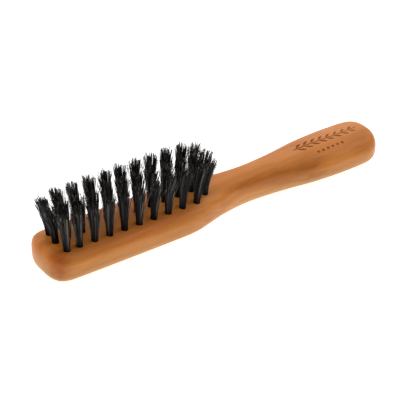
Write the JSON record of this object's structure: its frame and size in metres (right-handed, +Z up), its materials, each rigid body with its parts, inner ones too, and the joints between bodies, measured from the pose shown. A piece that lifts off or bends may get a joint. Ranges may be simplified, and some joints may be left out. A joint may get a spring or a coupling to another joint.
{
  "type": "beard brush",
  "caption": "Straight wooden beard brush with a waisted neck and a rounded handle; rows of dark bristle tufts stand in blind holes in its narrow head.",
  "frame": {"origin": "on the surface that the flat back rests on, below the middle of the brush's length and width", "axes": "+X along the brush from the head to the handle's end, +Z up from the back through the bristles, +Y across the brush"},
  "size_m": [0.168, 0.0284, 0.031],
  "materials": {
    "wood": "oiled and sanded pear-type wood, satin, warm orange-brown, fine grain along the brush",
    "bristle": "natural black bristle, satin, with a few brown and grey tips",
    "anchor_metal": "plain flat steel wire, cut to length"
  },
  "bodies": {
    "root": {"wood_body": "wood", "tuft_front_01": "bristle", "tuft_front_02": "bristle", "tuft_front_03": "bristle", "tuft_front_04": "bristle", "tuft_front_05": "bristle", "tuft_front_06": "bristle", "tuft_front_07": "bristle", "tuft_front_08": "bristle", "tuft_front_09": "bristle", "tuft_front_10": "bristle", "tuft_front_11": "bristle", "tuft_middle_01": "bristle", "tuft_middle_02": "bristle", "tuft_middle_03": "bristle", "tuft_middle_04": "bristle", "tuft_middle_05": "bristle", "tuft_middle_06": "bristle", "tuft_middle_07": "bristle", "tuft_middle_08": "bristle", "tuft_middle_09": "bristle", "tuft_middle_10": "bristle", "tuft_middle_11": "bristle", "tuft_middle_12": "bristle", "tuft_back_01": "bristle", "tuft_back_02": "bristle", "tuft_back_03": "bristle", "tuft_back_04": "bristle", "tuft_back_05": "bristle", "tuft_back_06": "bristle", "tuft_back_07": "bristle", "tuft_back_08": "bristle", "tuft_back_09": "bristle", "tuft_back_10": "bristle", "tuft_back_11": "bristle"}
  },
  "joints": []
}
